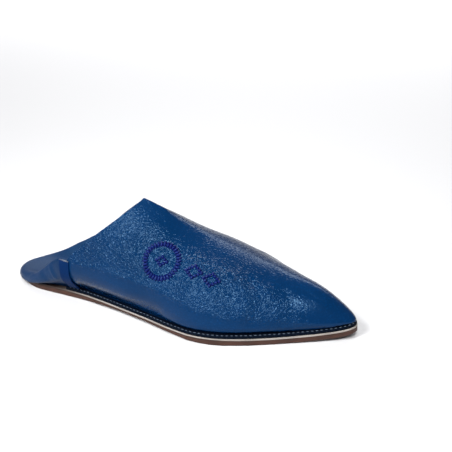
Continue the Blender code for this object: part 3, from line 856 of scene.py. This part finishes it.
def stitch_tree():
    """Geometry nodes that lay one thread bar after another along a curve on a surface."""
    name = "Stitches along a curve"
    if name in bpy.data.node_groups:
        return bpy.data.node_groups[name]
    tree = bpy.data.node_groups.new(name, "GeometryNodeTree")
    sockets = (
        ("Geometry", "NodeSocketGeometry", None),
        ("Surface", "NodeSocketObject", None),
        ("Material", "NodeSocketMaterial", None),
        ("Pitch", "NodeSocketFloat", 0.004),
        ("Length", "NodeSocketFloat", 0.002),
        ("Width", "NodeSocketFloat", 0.0007),
        ("Height", "NodeSocketFloat", 0.0006),
        ("Turn", "NodeSocketFloat", 0.0),
        ("Unevenness", "NodeSocketFloat", 0.06),
        ("Seed", "NodeSocketInt", 1),
    )
    for label, kind, value in sockets:
        socket = tree.interface.new_socket(label, in_out="INPUT", socket_type=kind)
        if value is not None:
            socket.default_value = value
    tree.interface.new_socket("Geometry", in_out="OUTPUT", socket_type="NodeSocketGeometry")
    g = Graph(tree)
    source = g.add("NodeGroupInput").outputs
    points = g.add(
        "GeometryNodeCurveToPoints", {"Curve": source["Geometry"], "Length": source["Pitch"]}, mode="LENGTH",
    ).outputs
    surface = g.add("GeometryNodeObjectInfo", {"Object": source["Surface"]}, transform_space="RELATIVE")
    normal = g.add("GeometryNodeInputNormal").outputs[0]
    upright = g.add(
        "GeometryNodeSampleNearestSurface",
        {"Mesh": surface.outputs["Geometry"], "Value": normal}, data_type="FLOAT_VECTOR",
    ).outputs["Value"]
    turn = g.add(
        "FunctionNodeAxesToRotation", {0: upright, 1: points["Tangent"]},
        primary_axis="Z", secondary_axis="X",
    ).outputs[0]
    spin = g.add("FunctionNodeEulerToRotation", {0: g.combine(z=source["Turn"])}).outputs[0]
    turn = g.add("FunctionNodeRotateRotation", {0: turn, 1: spin}, rotation_space="LOCAL").outputs[0]
    bead = g.add("GeometryNodeMeshUVSphere", {"Segments": 8, "Rings": 6, "Radius": 0.5}).outputs[0]
    scale = g.combine(source["Length"], source["Width"], source["Height"])
    bar = g.add("GeometryNodeTransform", {"Geometry": bead, "Scale": scale}).outputs[0]
    place = g.vector(
        "DIVIDE", g.add("GeometryNodeInputPosition").outputs[0],
        g.combine(source["Width"], source["Width"], source["Width"]))
    bar = g.add(
        "GeometryNodeStoreNamedAttribute",
        {"Geometry": bar, "Name": "fibre", "Value": place}, data_type="FLOAT_VECTOR", domain="POINT",
    ).outputs[0]
    uneven = g.add(
        "FunctionNodeRandomValue",
        {2: g.math("SUBTRACT", 1.0, source["Unevenness"]), 3: g.math("ADD", 1.0, source["Unevenness"]),
         "Seed": source["Seed"]}, data_type="FLOAT",
    ).outputs[1]
    laid = g.add(
        "GeometryNodeInstanceOnPoints",
        {"Points": points["Points"], "Instance": bar, "Rotation": turn, "Scale": uneven},
    ).outputs[0]
    laid = g.add("GeometryNodeRealizeInstances", {0: laid}).outputs[0]
    laid = g.add("GeometryNodeSetMaterial", {"Geometry": laid, "Material": source["Material"]}).outputs[0]
    g.put(g.add("NodeGroupOutput").inputs[0], laid)
    return tree


def stitches(name, path, surface, material, **sizes):
    """Row of stitches along a path, baked to one mesh."""
    line = bpy.data.curves.new(name, "CURVE")
    line.dimensions = "3D"
    spline = line.splines.new("POLY")
    spline.points.add(len(path) - 1)
    for point, place in zip(spline.points, path):
        point.co = (*place, 1.0)
    carrier = bpy.data.objects.new(name + "_path", line)
    bpy.context.scene.collection.objects.link(carrier)
    tree = stitch_tree()
    rows = carrier.modifiers.new("Rows", "NODES")
    rows.node_group = tree
    values = {"Surface": surface, "Material": material, **sizes}
    for item in tree.interface.items_tree:
        if item.in_out == "INPUT" and item.name in values:
            rows[item.identifier] = values[item.name]
    mesh = baked(carrier)
    bpy.data.objects.remove(carrier)
    mesh.shade_smooth()
    return place_mesh(name, mesh, material)


def top_edge(mesh, steps=14):
    """Path along the top of a strip, which stands upright."""
    place = corners(mesh)
    crown = place[place[:, 2] > place[:, 2].max() - CROWN_DEPTH]
    low, high = crown[:, 0].min() + CROWN_END, crown[:, 0].max() - CROWN_END
    path = []
    for x in np.linspace(low, high, steps):
        near = crown[np.abs(crown[:, 0] - x) < CROWN_REACH]
        path.append(Vector(near[near[:, 2].argmax()].tolist()))
    return path


def dense(points, parts):
    """Points of a flat polyline, with more of them between its corners."""
    result = []
    for (ax, ay), (bx, by) in zip(points, points[1:]):
        for i in range(parts):
            s = i / parts
            result.append((ax + (bx - ax) * s, ay + (by - ay) * s))
    return result + [points[-1]]


def ornament_shapes(radius):
    """Closed outlines of the ornament by name, flat, from the middle of its ring."""
    turns = [2 * math.pi * i / RING_CORNERS for i in range(RING_CORNERS)]
    shapes = {"ring": [(radius * math.cos(a), radius * math.sin(a)) for a in turns]}
    for i, (middle, drop, reach) in enumerate(LOZENGES):
        high = reach * LOZENGE_HEIGHT
        shapes[f"lozenge_{i}"] = [
            (middle + reach, drop), (middle, drop + high), (middle - reach, drop), (middle, drop - high)]
    return {name: dense(outline + outline[:1], CORNER_STEPS) for name, outline in shapes.items()}


class Cloth:
    """Flat place on the leather: the ornament is drawn on it and laid down along its normal."""

    def __init__(self, mesh, x, z):
        faces = [p.vertices for p in mesh.polygons]
        self.tree = BVHTree.FromPolygons([v.co for v in mesh.vertices], faces)
        start = Vector((x, CAD_BOX[0][1] - FAR_OUTSIDE, z))
        self.middle, self.normal, _, _ = self.tree.ray_cast(start, Vector((0, 1, 0)))
        if self.middle is None:
            raise RuntimeError("the ornament's middle misses the vamp")
        self.along = (Vector((1, 0, 0)) - self.normal * self.normal.x).normalized()
        self.rise = self.normal.cross(self.along)
        if self.rise.z < 0:
            self.rise = -self.rise

    def lay(self, outline):
        """Path on the leather under a flat outline."""
        path = []
        for a, b in outline:
            start = self.middle + self.along * a + self.rise * b + self.normal * JUST_OUTSIDE
            place = self.tree.ray_cast(start, -self.normal)[0]
            if place is None:
                raise RuntimeError("the ornament runs off the vamp")
            path.append(place)
        return path


# Stage

def soft_light(name, place, size, power, target, beam):
    """Rectangular light that looks at a point, with the angle of its beam in degrees."""
    data = bpy.data.lights.new(name, "AREA")
    data.shape = "RECTANGLE"
    data.size, data.size_y = size
    data.energy = power
    data.spread = math.radians(beam)
    light = bpy.data.objects.new(name, data)
    bpy.context.scene.collection.objects.link(light)
    light.location = place
    light.rotation_euler = (Vector(target) - Vector(place)).to_track_quat("-Z", "Y").to_euler()


def fitted_camera():
    """Camera that sees the shoe as in the photo."""
    data = bpy.data.cameras.new("camera")
    data.lens = CAMERA_LENS
    data.sensor_width = SENSOR
    camera = bpy.data.objects.new("camera", data)
    bpy.context.scene.collection.objects.link(camera)
    right, above = Vector(CAMERA_RIGHT), Vector(CAMERA_UP)
    turn = Matrix((right, above, right.cross(above))).transposed().to_4x4()
    camera.matrix_world = Matrix.Translation(CAMERA_PLACE) @ turn
    return camera


# Operators

class BABOUCHE_OT_vamp(bpy.types.Operator):
    """Make the grained front of the upper"""
    bl_idname = "babouche.vamp"
    bl_label = "Vamp"
    bl_options = {"REGISTER", "UNDO"}

    def execute(self, context):
        look = context.scene.babouche.leather
        outside = leather(
            "vamp_leather", look.vamp, look.grain_size, look.grain_depth, look.roughness, masked=True)
        inside = leather("lining_leather", look.lining, *LINING_GRAIN)
        mesh = refined("vamp", "vamp_leather", *VAMP_FINISH)
        densify(mesh, *VAMP_SEEN)
        fold_leather(mesh, VAMP_FOLDS + forepart_bulges(), VAMP_FREE, WAVE_HEIGHT)
        settle(mesh)
        weaken_grain(mesh)
        piece = place_mesh("vamp_leather", mesh, outside, inside)
        lining_faces(mesh)
        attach(piece, "root")
        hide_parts("vamp")
        return {"FINISHED"}


class BABOUCHE_OT_back(bpy.types.Operator):
    """Make the back that is folded down inside the heel"""
    bl_idname = "babouche.back"
    bl_label = "Folded back"
    bl_options = {"REGISTER", "UNDO"}

    def execute(self, context):
        settings = context.scene.babouche
        outside = leather("back_leather", settings.leather.back, *BACK_GRAIN)
        mesh = refined("folded_back", "back_leather", *BACK_FINISH)
        densify(mesh, *BACK_SEEN)
        fold_leather(mesh, BACK_FOLDS, BACK_FREE)
        settle(mesh)
        piece = place_mesh("back_leather", mesh, outside)
        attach(piece, "root")
        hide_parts("folded_back")
        return {"FINISHED"}


class BABOUCHE_OT_strips(bpy.types.Operator):
    """Make the strips over the two side seams, with their thread"""
    bl_idname = "babouche.strips"
    bl_label = "Seam strips"
    bl_options = {"REGISTER", "UNDO"}

    def execute(self, context):
        settings = context.scene.babouche
        skin = leather("strip_leather", settings.leather.strip, *STRIP_GRAIN, gloss=DULL)
        for node in ("seam_strip_outer", "seam_strip_inner"):
            mesh = refined(node, node + "_leather", *TRIM_FINISH)
            reach_down(mesh)
            if node == "seam_strip_outer":
                slant_top(mesh)
            settle(mesh)
            piece = place_mesh(node + "_leather", mesh, skin)
            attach(piece, "root")
            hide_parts(node)
            raw = thread(node + "_thread", settings.stitch.raw)
            whip = stitches(node + "_whip", top_edge(mesh), piece, raw, **WHIP)
            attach(whip, "root")
        return {"FINISHED"}


class BABOUCHE_OT_rand(bpy.types.Operator):
    """Make the stitched strip on the sole's edge"""
    bl_idname = "babouche.rand"
    bl_label = "Rand"
    bl_options = {"REGISTER", "UNDO"}

    def execute(self, context):
        settings = context.scene.babouche
        sewing = settings.stitch
        skin = leather("rand_leather", settings.leather.rand, *RAND_GRAIN, gloss=DULL)
        mesh = refined("rand", "rand_leather", *TRIM_FINISH)
        piece = place_mesh("rand_leather", mesh, skin)
        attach(piece, "root")
        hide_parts("rand")
        start = x_station(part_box("rand")[0].x + STITCH_START)
        path = outline_path(start, RAND_LEDGE + sewing.inset, SEAT + RAND_HEIGHT)
        rows = stitches(
            "rand_stitches", path, piece, thread("pale_thread", sewing.pale),
            Pitch=sewing.pitch, Length=sewing.span, Width=sewing.width,
            Height=sewing.width * STITCH_HEIGHT,
        )
        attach(rows, "root")
        return {"FINISHED"}


class BABOUCHE_OT_sole(bpy.types.Operator):
    """Finish the layers of the sole"""
    bl_idname = "babouche.sole"
    bl_label = "Sole"
    bl_options = {"REGISTER", "UNDO"}

    def execute(self, context):
        look = context.scene.babouche.leather
        finishes = {
            "outsole": cut_edge("outsole_leather", look.outsole, *OUTSOLE_EDGE),
            "midsole": cut_edge("midsole_leather", look.midsole, *MIDSOLE_EDGE, look.stain),
            "insole": leather("insole_leather", look.lining, *INSOLE_GRAIN),
        }
        for node, material in finishes.items():
            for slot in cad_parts[node].material_slots:
                slot.material = material
        return {"FINISHED"}


class BABOUCHE_OT_ornament(bpy.types.Operator):
    """Embroider a ring and lozenges on the outer side"""
    bl_idname = "babouche.ornament"
    bl_label = "Ornament"
    bl_options = {"REGISTER", "UNDO"}

    def execute(self, context):
        look = context.scene.babouche.ornament
        vamp = bpy.data.objects["vamp_leather"]
        cloth = Cloth(vamp.data, look.x, look.z)
        silk = thread("silk_thread", look.thread, SATIN_ROUGHNESS)
        for name, outline in ornament_shapes(look.radius - look.band / 2).items():
            band = look.band if name == "ring" else look.band * LOZENGE_BAND
            shape = stitches(
                "ornament_" + name, cloth.lay(outline), vamp, silk,
                Pitch=look.pitch, Length=band, Width=look.pitch * BAR_WIDTH,
                Height=look.rise * BAR_HEIGHT, Turn=math.pi / 2, Unevenness=BAR_UNEVENNESS)
            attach(shape, "root")
        return {"FINISHED"}


class BABOUCHE_OT_stage(bpy.types.Operator):
    """Set up the floor, the lights and the camera"""
    bl_idname = "babouche.stage"
    bl_label = "Stage"
    bl_options = {"REGISTER", "UNDO"}

    def execute(self, context):
        look = context.scene.babouche.stage
        reach = FLOOR_REACH
        mesh = bpy.data.meshes.new("floor")
        floor_corners = [(-reach, -reach, 0), (reach, -reach, 0), (reach, reach, 0), (-reach, reach, 0)]
        mesh.from_pydata(floor_corners, [], [(0, 1, 2, 3)])
        material, _, shader = new_material("floor_paint")
        shader.inputs["Base Color"].default_value = (*look.floor, 1.0)
        shader.inputs["Roughness"].default_value = FLOOR_ROUGHNESS
        shader.inputs["Specular IOR Level"].default_value = FLOOR_GLOSS
        floor = place_mesh("floor", mesh, material)
        world = bpy.data.worlds.new("studio")
        world.use_nodes = True
        sky = world.node_tree.nodes["Background"]
        sky.inputs["Color"].default_value = SKY_COLOUR
        sky.inputs["Strength"].default_value = look.sky
        bpy.context.scene.world = world
        bpy.context.scene.view_settings.view_transform = "Standard"
        for name, place, size, target, beam in LIGHTS:
            soft_light(name + "_light", place, size, getattr(look, name), target, beam)
        bpy.context.scene.camera = fitted_camera()
        return {"FINISHED"}


class BABOUCHE_PT_panel(bpy.types.Panel):
    """Lists the makers of the slipper"""
    bl_idname = "BABOUCHE_PT_panel"
    bl_label = "Babouche"
    bl_space_type = "VIEW_3D"
    bl_region_type = "UI"
    bl_category = "Babouche"

    def draw(self, context):
        for maker in MAKERS:
            self.layout.operator(maker.bl_idname)
        settings = context.scene.babouche
        for part in (settings.leather, settings.stitch, settings.ornament, settings.stage):
            box = self.layout.box()
            for name in part.__annotations__:
                box.prop(part, name)


GROUPS = (LeatherSettings, StitchSettings, OrnamentSettings, StageSettings, SlipperSettings)
MAKERS = (
    BABOUCHE_OT_vamp, BABOUCHE_OT_back, BABOUCHE_OT_strips, BABOUCHE_OT_rand,
    BABOUCHE_OT_sole, BABOUCHE_OT_ornament, BABOUCHE_OT_stage,
)


def register():
    for item in (*GROUPS, *MAKERS, BABOUCHE_PT_panel):
        bpy.utils.register_class(item)
    bpy.types.Scene.babouche = PointerProperty(type=SlipperSettings)


def unregister():
    del bpy.types.Scene.babouche
    for item in reversed((*GROUPS, *MAKERS, BABOUCHE_PT_panel)):
        bpy.utils.unregister_class(item)


def main():
    register()
    for maker in MAKERS:
        space, name = maker.bl_idname.split(".")
        getattr(getattr(bpy.ops, space), name)()


if __name__ == "__main__":
    main()
